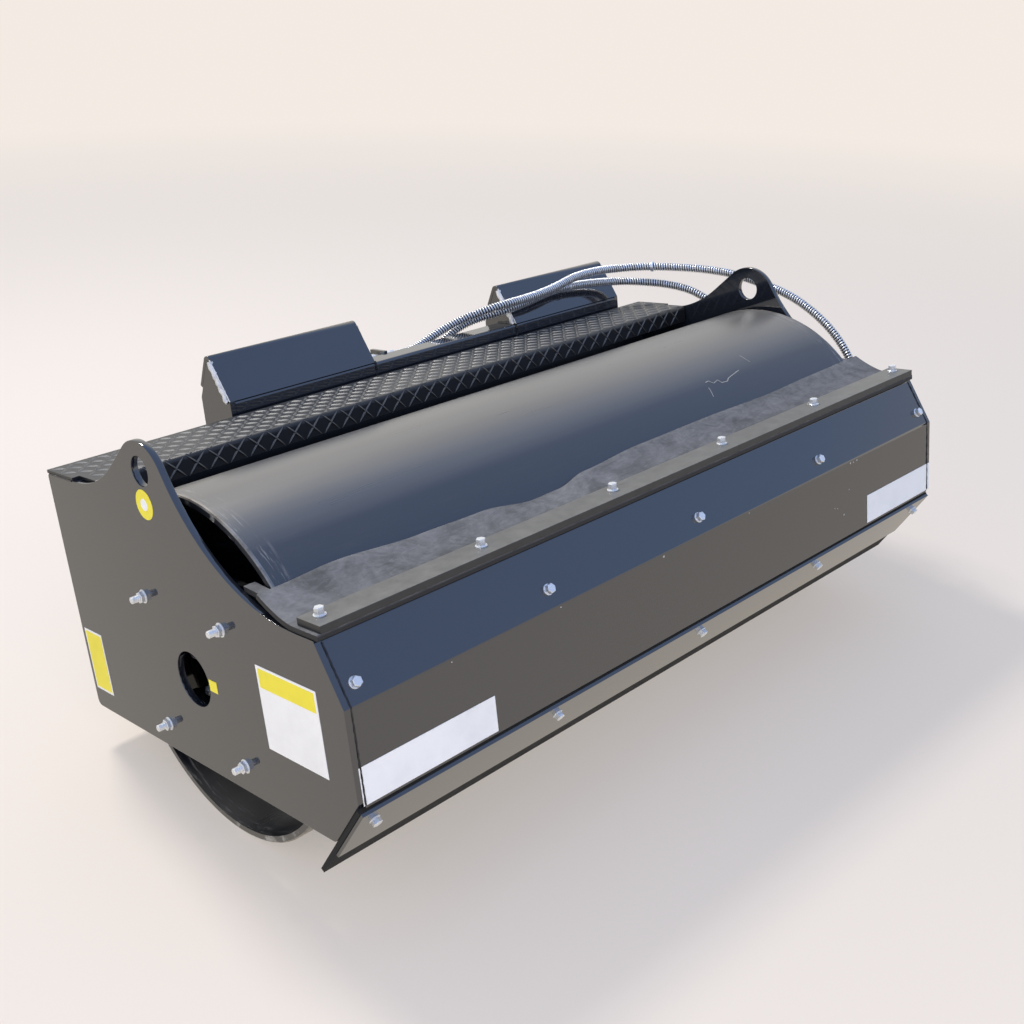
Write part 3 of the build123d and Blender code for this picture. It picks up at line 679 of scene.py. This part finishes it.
class ROLLER_OT_hoses(bpy.types.Operator):
    """Two hydraulic hoses in spring guards, with their crimped ends"""

    bl_idname = "roller.hoses"
    bl_label = "Hoses"

    def execute(self, context):
        sizes = context.scene.roller
        for side, route, length in (("upper", UPPER_ROUTE, 1.67), ("lower", LOWER_ROUTE, 1.24)):
            hose, points = route_points(route, f"hose_line_{side}")
            hose.data.bevel_depth = sizes.hose_radius * MM
            hose.data.bevel_resolution = 3
            hose.data.materials.append(finish_of("hose_rubber"))
            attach(hose, "frame")
            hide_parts(f"hose_{side}")
            reach = (GUARD_RADIUS - sizes.guard_wire) * MM
            helix = wound(points, reach, sizes.guard_pitch * MM)
            skip = int(TURN_POINTS * FITTING_REACH / sizes.guard_pitch)
            turns = helix[skip:-skip]
            guard = wire(f"spring_guard_{side}", turns, sizes.guard_wire * MM, "guard_wire")

            nut_radius, nut_length = 15.0, 13
            ends = bmesh.new()
            for end, after in ((route[0], route[1]), (route[-1], route[-2])):
                placing = along(end, Vector(after) - Vector(end))
                add(ends, hexagon(nut_radius, nut_length), placing)
                crimped = turned([
                    (8.6, nut_length), (11.8, nut_length), (11.8, 17), (10.0, 18), (10.0, 20),
                    (12.6, 21.5), (12.6, 27), (11.9, 28), (12.6, 29), (12.6, 35), (11.9, 36), (12.6, 37),
                    (12.6, 44), (11.4, 46), (8.6, 46),
                ])
                add(ends, crimped, placing)
            fittings = piece_of(ends, f"hose_ends_{side}", "zinc", slot="zinc")
        return {"FINISHED"}


class ROLLER_OT_tread(bpy.types.Operator):
    """Raised ribs of the tread deck, on its top and on its front lip"""

    bl_idname = "roller.tread"
    bl_label = "Tread ribs"

    def execute(self, context):
        sizes = context.scene.roller
        pitch = sizes.rib_pitch
        rows, lip_length = 8, 52
        rear_limit = PLATE_REAR - 8
        ear_face, ear_rear = INNER_FACE - 14, DECK_FRONT + 80
        lip_end, lip_middle = INNER_FACE - 18, DECK_TOP - 20
        bm = bmesh.new()
        columns = int(2 * HALF_WIDTH / pitch)
        for column in range(columns):
            x = (column - (columns - 1) / 2) * pitch
            for row in range(rows):
                y = DECK_FRONT + 10 + pitch * (row + 0.15)
                if y > rear_limit or (abs(x) > ear_face and y < ear_rear):
                    continue
                turn = pi / 4 if (column + row) % 2 else -pi / 4
                add(bm, tread_rib(sizes, sizes.rib_length), along((x, y, DECK_TOP), (0, 0, 1), turn))
            if column % 2 and abs(x) < lip_end:
                spot = (x, DECK_FRONT, lip_middle)
                for turn in (-pi / 4, pi / 4):
                    add(bm, tread_rib(sizes, lip_length), along(spot, (0, -1, 0), turn))
        piece_of(bm, "tread_ribs", "rib_paint", slot="tread_paint", flat=60)
        return {"FINISHED"}


def tread_rib(sizes, length):
    """One lens-shaped rib that narrows to both ends and is sunk a little into its sheet."""
    bulge, tip_width, sunk = 4.6, 0.8, 0.05
    rib = bmesh.new()
    bmesh.ops.create_grid(rib, x_segments=6, y_segments=2, size=0.5)
    for vert in rib.verts:
        share = abs(vert.co.x) * 2
        width = bulge * (1 - share ** 3) + tip_width
        crown = 0 if abs(vert.co.y) > 0.25 else sizes.rib_height * (1 - share ** 4)
        vert.co = Vector((vert.co.x * length, vert.co.y * width, crown - sunk))
    return rib


def scraper_tip(x):
    """Degrees round from the drum's top at which the rubber's edge lies, smoothed between its places."""
    for (x0, a0), (x1, a1) in zip(RUBBER_EDGE, RUBBER_EDGE[1:]):
        if x <= x1:
            share = (x - x0) / (x1 - x0)
            share = share * share * (3 - 2 * share)
            return a0 + (a1 - a0) * share
    return RUBBER_EDGE[-1][1]


class ROLLER_OT_scraper(bpy.types.Operator):
    """The scraper's rubber, clamped at its front and lying with a wavy edge on the drum"""

    bl_idname = "roller.scraper"
    bl_label = "Scraper rubber"

    def execute(self, context):
        columns = context.scene.roller.rubber_columns
        bm = bmesh.new()
        made = bmesh.ops.create_grid(bm, x_segments=columns, y_segments=14, size=0.5)["verts"]
        front, fold = SHELF_FRONT - 8, SHELF_FRONT + 50
        half_length, clamped, sag = 798, 0.4, 1.6
        reach = DRUM_RADIUS + 1
        for vert in made:
            x = vert.co.x * 2 * half_length
            share = vert.co.y + 0.5
            angle = radians(scraper_tip(x))
            if share <= clamped:
                vert.co = Vector((x, front + (fold - front) * share / clamped, SHELF_TOP))
            else:
                free = (share - clamped) / (1 - clamped)
                rise = (reach * cos(angle) - SHELF_TOP) * free ** sag
                vert.co = Vector((x, fold + (-reach * sin(angle) - fold) * free, SHELF_TOP + rise))
        bmesh.ops.recalc_face_normals(bm, faces=bm.faces)
        if bm.faces[0].normal.z < 0:
            bmesh.ops.reverse_faces(bm, faces=bm.faces)
        sheet = piece_of(bm, "scraper_rubber_sheet", "scraper_rubber", slot="rubber")
        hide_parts("upper_scraper_rubber")
        wall = sheet.modifiers.new("wall", "SOLIDIFY")
        wall.thickness = 0.010
        wall.offset = 1.0
        edge = sheet.modifiers.new("edge", "BEVEL")
        edge.width = 0.0012
        edge.segments = 2
        edge.limit_method = "ANGLE"
        edge.angle_limit = radians(50)
        return {"FINISHED"}


def spread(edge, count):
    """Places along X of a row whose end bolts lie this far from the plates' faces."""
    step = (2 * HALF_WIDTH - 2 * edge) / (count - 1)
    return [-HALF_WIDTH + edge + step * number for number in range(count)]


class ROLLER_OT_bolts(bpy.types.Operator):
    """Zinc plated bolts and nuts of the guard, the clamp bars, the isolators and the heads"""

    bl_idname = "roller.bolts"
    bl_label = "Bolts"

    def execute(self, context):
        foot_y, foot_z = SLOPE_FOOT
        slope_out = Vector((0, foot_z - SHELF_TOP, SHELF_FRONT - foot_y)).normalized()
        guard_z = 98
        guard_y = foot_y + (SHELF_FRONT - foot_y) * (guard_z - foot_z) / (SHELF_TOP - foot_z)
        places = [(x, guard_y, guard_z) for x in spread(33, 5)]
        bolt_group("guard_bolts", GUARD_BOLT, places, slope_out, 0.7)

        bar_y, bar_top = -341, RUBBER_TOP + 12
        places = [(x, bar_y, bar_top) for x in spread(32.5, 6)]
        bolt_group("clamp_bar_bolts", CLAMP_BAR_BOLT, places, (0, 0, 1), 0.9, 0.3)

        # The lower clamp plate lies on the plates' front chamfer, which starts at PLATE_FRONT
        chamfer_top, down_chamfer, over_chamfer = -75, 50, 14
        outward = Vector((0, -90, -73)).normalized()
        chamfer = Vector((0, 73, -90)).normalized()
        row = Vector((0, PLATE_FRONT, chamfer_top)) + chamfer * down_chamfer + outward * over_chamfer
        places = [(x, row.y, row.z) for x in spread(37, 5)]
        bolt_group("lower_clamp_bolts", LOWER_CLAMP_BOLT, places, outward, 0.8)

        isolator, housing_circle, hub_circle = 117, 103, 88
        for side, name in SIDES:
            face = side * HALF_WIDTH
            places = [(face, y, z) for y in (-isolator, isolator) for z in (-isolator, isolator)]
            bolt_group(f"isolator_nuts_{name}", ISOLATOR_NUT, places, (side, 0, 0), 0.6, 0.2)
            places = bolt_circle(side * (HEAD_FACE + 12), housing_circle, 0.2)
            bolt_group(f"housing_bolts_{name}", HOUSING_BOLT, places, (side, 0, 0), 0.5, body="drum")

        places = bolt_circle(-CARRIER_FACE, hub_circle)
        bolt_group("hub_bolts_left", HUB_BOLT, places, (-1, 0, 0))
        return {"FINISHED"}


def bead(name, runs, finish, radius):
    """Weld beads along runs of points, half sunk in their joints, as one piece."""
    bm = bmesh.new()
    for run in runs:
        carrier = round_bar("run", run, radius)
        line = carrier.data
        bpy.context.view_layer.update()
        mesh = bpy.data.meshes.new_from_object(carrier)
        bm.from_mesh(mesh)
        bpy.data.objects.remove(carrier)
        bpy.data.curves.remove(line)
        bpy.data.meshes.remove(mesh)
    bmesh.ops.remove_doubles(bm, verts=bm.verts, dist=0.01)
    bmesh.ops.recalc_face_normals(bm, faces=bm.faces)
    piece_of(bm, name, finish, flat=60)


def lumpy(start, end, step=4.0, sway=0.5):
    """Points of a hand-laid bead between two ends."""
    start, end = Vector(start), Vector(end)
    count = max(2, int((end - start).length / step))
    run = []
    for number in range(count + 1):
        wave = Vector((cos(number * 2.3), sin(number * 1.7), cos(number * 3.1 + 1))) * sway
        run.append(start.lerp(end, number / count) + wave)
    return run


def upright(x, joint, step=4.0, sway=0.5):
    """Points of a bead that lies in one plane across X, along a joint's (Y, Z) ends."""
    start, end = joint
    return lumpy((x, *start), (x, *end), step, sway)


class ROLLER_OT_welds(bpy.types.Operator):
    """Weld beads of the guard, the hooks, the coupler and the deck"""

    bl_idname = "roller.welds"
    bl_label = "Welds"

    def execute(self, context):
        size = context.scene.roller.bead
        runs = []
        for side in (-1, 1):
            for joint in (*GUARD_JOINTS, PANEL_JOINT):
                runs.append(upright(side * INNER_FACE, joint, step=5.0, sway=0.3))
            runs.append(upright(side * HALF_WIDTH, DECK_JOINT, step=5.0, sway=0.3))
        bead("plate_welds", runs, "painted_weld", size * 0.6)

        pad_half, rib_inset = 180, 13
        beam_front, beam_rear = 403, 461
        runs = []
        bright = []
        chips = []
        for side in (-1, 1):
            centre = COUPLER_X + side * HOOK_OFFSET
            for end in (-1, 1):
                x = centre + end * HOOK_WIDTH / 2
                if end < 0:
                    bright.append(upright(x, HOOK_JOINT, step=6.0, sway=1.1))
                    chips.append(upright(x, HOOK_EDGE, sway=0.2))
                else:
                    runs.append(upright(x, HOOK_JOINT, step=6.0, sway=0.2))
                runs.append(upright(x - end * rib_inset, RIB_JOINT))
                runs.append(upright(x, PAD_JOINT))
                runs.append(upright(x, FOOT_JOINT))
            for place in PAD_ENDS:
                runs.append(lumpy((centre - pad_half, *place), (centre + pad_half, *place)))
        inner = HOOK_OFFSET - HOOK_WIDTH / 2
        for x in (COUPLER_X - inner, COUPLER_X + inner):
            for low, high in BEAM_HEIGHTS:
                outline = ((beam_front, low), (beam_rear, low), (beam_rear, high), (beam_front, high))
                corners = [(x, *place) for place in outline]
                for start, end in zip(corners, corners[1:] + corners[:1]):
                    runs.append(lumpy(start, end))
        bead("coupler_welds", runs, "painted_weld", size)
        bead("hook_welds", bright, "bright_weld", size * 1.8)
        bead("hook_edge_chips", chips, "bright_weld", 1.3)
        return {"FINISHED"}


def on_drum(x, degrees_round):
    """A point just over the drum's skin, by its place along X and the angle from the top to the front."""
    lift = 0.15
    angle = radians(degrees_round)
    reach = DRUM_RADIUS + lift
    return (x, -reach * sin(angle), reach * cos(angle))


class ROLLER_OT_wear(bpy.types.Operator):
    """The drum's worn rims and scratch, paint chips, hose bands and the scraper's loose ends"""

    bl_idname = "roller.wear"
    bl_label = "Wear and small bits"

    def execute(self, context):
        # A thin band wrapped round each rim: radius and distance from the drum's middle
        section = [
            (297.4, 765.4), (297.9, 765.75), (300.06, 763.7), (300.08, 760.5), (299.8, 760.3), (297.2, 765.0),
            (297.4, 765.4),
        ]
        for side, name in SIDES:
            bm = bmesh.new()
            add(bm, turned(section, 128), along((0, 0, 0), (side, 0, 0)))
            piece_of(bm, f"worn_rim_{name}", "worn_rim", body="drum")

        # The scratch's lines, as place along X and degrees round from the top
        marks = (
            [(327.9, 35.7), (338.4, 35.4), (346.2, 37.2), (363.4, 36.4), (367.6, 38.2), (385.9, 38.5),
             (394, 37.4), (406.6, 36.9), (415, 36.6), (440.6, 35.6)],
            [(486.8, 28.8), (489.5, 31.0), (493.1, 33.7)],
            [(323.0, 38.3), (320.0, 40.4), (315.0, 42.7)],
        )
        for number, (mark, thick) in enumerate(zip(marks, (0.75, 0.4, 0.4))):
            points = [PARKED @ Vector(on_drum(*spot)) for spot in mark]
            wire(f"drum_scratch_{number + 1}", points, thick * MM, "scuff", body="drum")

        bm = bmesh.new()
        # Chips in the front's paint: X, Z and radius
        chips = (
            (478, 67, 2.1), (489, 66, 1.6), (502, 67, 2.0), (472, 13, 1.4), (429, -15, 1.2), (452, -35, 2.0),
            (419, -12, 1.0), (-116, 66, 2.4), (-372, 67, 1.5), (132, 68, 1.2), (-604, 66, 1.3),
        )
        for x, z, radius in chips:
            part = bmesh.new()
            bmesh.ops.create_cone(
                part, cap_ends=True, segments=6, radius1=radius, radius2=radius * 0.7, depth=0.3
            )
            add(bm, part, along((x, PLATE_FRONT - 0.1, z), (0, -1, 0), x))
        piece_of(bm, "paint_chips", "scuff", slot="gloss_paint")

        bm = bmesh.new()
        ring = [(9.5, -3.2), (12.2, -3.2), (12.6, -2.4), (12.6, 2.4), (12.2, 3.2), (9.5, 3.2), (9.5, -3.2)]
        bands = (((773, 317, 388), (0.5, -0.86, -0.07)), ((561, 409, 371.5), (1, 0, 0)))
        for spot, direction in bands:
            add(bm, turned(ring), along(spot, direction))
        piece_of(bm, "hose_bands", "guard_wire", slot="zinc")

        for side, name in SIDES:
            bm = bmesh.new()
            x0, x1 = side * (DRUM_HALF + 2), side * (INNER_FACE - 0.5)
            corners = [(x0, -238, 186), (x1, -238, 186), (x1, -185, 190), (x0, -185, 190)]
            add_plate(bm, corners, 9, (0, 0.1, 1))
            piece_of(bm, f"scraper_loose_end_{name}", "scraper_rubber", slot="rubber")
        return {"FINISHED"}


def add_plate(bm, corners, thickness, side):
    """A thin plate from its corners, given thickness towards a side."""
    face = bm.faces.new([bm.verts.new(corner) for corner in corners])
    raised = bmesh.ops.extrude_face_region(bm, geom=[face])["geom"]
    verts = [item for item in raised if isinstance(item, bmesh.types.BMVert)]
    bmesh.ops.translate(bm, vec=Vector(side) * thickness, verts=verts)
    bmesh.ops.recalc_face_normals(bm, faces=bm.faces)


def side_sign(name, finish, y0, y1, z0, z1, thickness=0.5, lift=0.0):
    """A rectangular sign on the left end plate."""
    bm = bmesh.new()
    x = -HALF_WIDTH - lift
    add_plate(bm, [(x, y0, z0), (x, y1, z0), (x, y1, z1), (x, y0, z1)], thickness, (-1, 0, 0))
    piece_of(bm, name, finish)


class ROLLER_OT_signs(bpy.types.Operator):
    """Blank white plates on the front and blank signs on the left end plate"""

    bl_idname = "roller.signs"
    bl_label = "Signs"

    def execute(self, context):
        # Plates on the front: name and the two ends, from the left end plate's face
        low, high = -80.5, -20.5
        for name, start, end in (("left", 8.7, 270.6), ("right", 1341, 1598)):
            bm = bmesh.new()
            x0, x1, y = start - HALF_WIDTH, end - HALF_WIDTH, PLATE_FRONT
            add_plate(bm, [(x0, y, low), (x1, y, low), (x1, y, high), (x0, y, high)], 0.6, (0, -1, 0))
            piece_of(bm, f"blank_plate_{name}", "sign_white")

        # Signs on the left end plate: name, finish, ends in Y, ends in Z, and where one lies on another
        # its thickness and its lift
        side_sign("side_sign_white", "sign_white", -350, -200, -57, 83)
        side_sign("side_sign_header", "sign_yellow", -345, -205, 47, 79, 0.3, 0.4)
        side_sign("tall_sign_border", "sign_white", 318, 381, -126, -6)
        side_sign("tall_sign_face", "sign_yellow", 321, 378, -122, -10, 0.3, 0.4)
        side_sign("small_yellow_tab", "sign_yellow", -72, -50, -5, 15)
        for name, finish, radius, lift in (("rim", "sign_yellow", 25, 0), ("middle", "sign_white", 10, 0.4)):
            bm = bmesh.new()
            placing = along((-HALF_WIDTH - lift, 50, 287), (-1, 0, 0))
            add(bm, turned([(0, 0.5), (radius - 0.3, 0.5), (radius, 0.2), (radius, 0)], 48), placing)
            piece_of(bm, f"disc_sign_{name}", finish)
        return {"FINISHED"}


def add_camera(scene):
    """The photo's camera, leaned with the machine."""
    lens = bpy.data.cameras.new("camera")
    lens.lens = CAMERA_LENS
    lens.sensor_width = 36
    camera = bpy.data.objects.new("camera", lens)
    axes = Matrix((CAMERA_RIGHT, -CAMERA_DOWN, -CAMERA_AHEAD)).transposed().to_4x4()
    camera.matrix_world = Matrix.Translation(PARKED @ CAMERA_SPOT) @ LEAN @ axes
    scene.collection.objects.link(camera)
    scene.camera = camera


def floor_finish(colour):
    """Pale ground that keeps the shadow near the object and fades to the background further off."""
    ground = Finish("floor", Roughness=0.9)
    spots = ground.noise(ground.place(), 90.0, 6.0, 0.7)
    tone = ground.mix(spots * 0.10, colour, (0.55, 0.52, 0.48, 1))
    ground.wear(Base_Color=tone)
    away = ground.node("ShaderNodeVectorMath", {0: ground.place()}, out="Value", operation="LENGTH")
    fade = ground.ramp(away * 0.1, (0.18, 0.40), (0.75, 1.0))
    lit = Value(ground, ground.shader.outputs[0])
    seen = ground.node("ShaderNodeLightPath", out="Is Camera Ray") * fade
    mirrored = ground.node("ShaderNodeLightPath", out="Is Glossy Ray") * 0.9
    sheen = ground.glow("ShaderNodeEmission", (0.70, 0.64, 0.56, 1))
    both = ground.choose(seen, lit, ground.glow("ShaderNodeEmission", PALE))
    both = ground.choose(mirrored, both, sheen)
    ground.tree.links.new(both.socket, ground.tree.nodes["Material Output"].inputs[0])
    return ground.material


def add_floor(scene):
    """A wide disc under the object."""
    bm = bmesh.new()
    bmesh.ops.create_circle(bm, cap_ends=True, segments=96, radius=14)
    mesh = bpy.data.meshes.new("floor")
    bm.to_mesh(mesh)
    bm.free()
    mesh.materials.append(floor_finish(tuple(scene.roller.floor)))
    floor = bpy.data.objects.new("floor", mesh)
    scene.collection.objects.link(floor)


def add_lamp(scene, name, place, size, power, colour):
    """A round lamp that looks at the object; only the sun shows in its gloss."""
    lamp = bpy.data.lights.new(name, "AREA")
    lamp.shape = "DISK"
    lamp.size = size
    lamp.energy = power
    lamp.color = colour
    light = bpy.data.objects.new(name, lamp)
    light.visible_glossy = name == "sun"
    aim = Vector((0, 0, 0.3)) - Vector(place)
    light.matrix_world = Matrix.Translation(place) @ aim.to_track_quat("-Z", "Y").to_matrix().to_4x4()
    scene.collection.objects.link(light)


def add_world(scene):
    """Haze at the rear that turns blue to the front and the top, and a pale background for the camera."""
    world = bpy.data.worlds.new("studio")
    world.use_nodes = True
    scene.world = world
    world.node_tree.nodes.clear()
    sky = Nodes(world.node_tree)
    way = sky.node("ShaderNodeTexCoord", out="Generated")
    height = sky.node("ShaderNodeVectorMath", {0: way, 1: (0, -0.5, 1)}, out="Value", operation="DOT_PRODUCT")
    colour = sky.ramp(
        height, (0.0, (0.96, 0.94, 0.90, 1)), (0.27, (0.92, 0.90, 0.86, 1)),
        (0.60, (0.40, 0.56, 0.90, 1)), (1.0, (0.36, 0.50, 0.84, 1)),
    )
    light = sky.glow("ShaderNodeBackground", colour, 0.95)
    seen = sky.node("ShaderNodeLightPath", out="Is Camera Ray")
    both = sky.choose(seen, light, sky.glow("ShaderNodeBackground", PALE))
    out = world.node_tree.nodes.new("ShaderNodeOutputWorld")
    world.node_tree.links.new(both.socket, out.inputs[0])


class ROLLER_OT_stage(bpy.types.Operator):
    """Camera, floor, lamps and world"""

    bl_idname = "roller.stage"
    bl_label = "Stage"

    def execute(self, context):
        scene = context.scene
        scene.view_settings.view_transform = "Standard"
        add_camera(scene)
        add_floor(scene)
        add_lamp(scene, "sun", (-0.4, 2.6, 4.4), 0.9, 165, (1.0, 0.95, 0.88))
        add_lamp(scene, "fill", (-1.6, -3.4, 1.8), 2.6, 46, (1.0, 0.88, 0.72))
        add_lamp(scene, "side", (-3.2, -0.6, 1.8), 2.2, 18, (1.0, 0.94, 0.86))
        add_world(scene)
        return {"FINISHED"}


class ROLLER_PT_panel(bpy.types.Panel):
    """Buttons for each group of pieces"""

    bl_label = "Roller"
    bl_idname = "ROLLER_PT_panel"
    bl_space_type = "VIEW_3D"
    bl_region_type = "UI"
    bl_category = "Roller"

    def draw(self, context):
        for operator in OPERATORS:
            self.layout.operator(operator.bl_idname)
        for name in Sizes.__annotations__:
            self.layout.prop(context.scene.roller, name)


OPERATORS = (
    ROLLER_OT_stage,
    ROLLER_OT_finishes,
    ROLLER_OT_hoses,
    ROLLER_OT_edges,
    ROLLER_OT_tread,
    ROLLER_OT_scraper,
    ROLLER_OT_bolts,
    ROLLER_OT_welds,
    ROLLER_OT_wear,
    ROLLER_OT_signs,
)
CLASSES = (Sizes, *OPERATORS, ROLLER_PT_panel)


def register():
    for cls in CLASSES:
        bpy.utils.register_class(cls)
    bpy.types.Scene.roller = PointerProperty(type=Sizes)


def unregister():
    del bpy.types.Scene.roller
    for cls in reversed(CLASSES):
        bpy.utils.unregister_class(cls)


def main():
    """Build everything on the frame."""
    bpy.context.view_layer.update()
    register()
    for operator in OPERATORS:
        group, name = operator.bl_idname.split(".")
        getattr(getattr(bpy.ops, group), name)()
    bpy.context.view_layer.update()


if __name__ == "__main__":
    main()
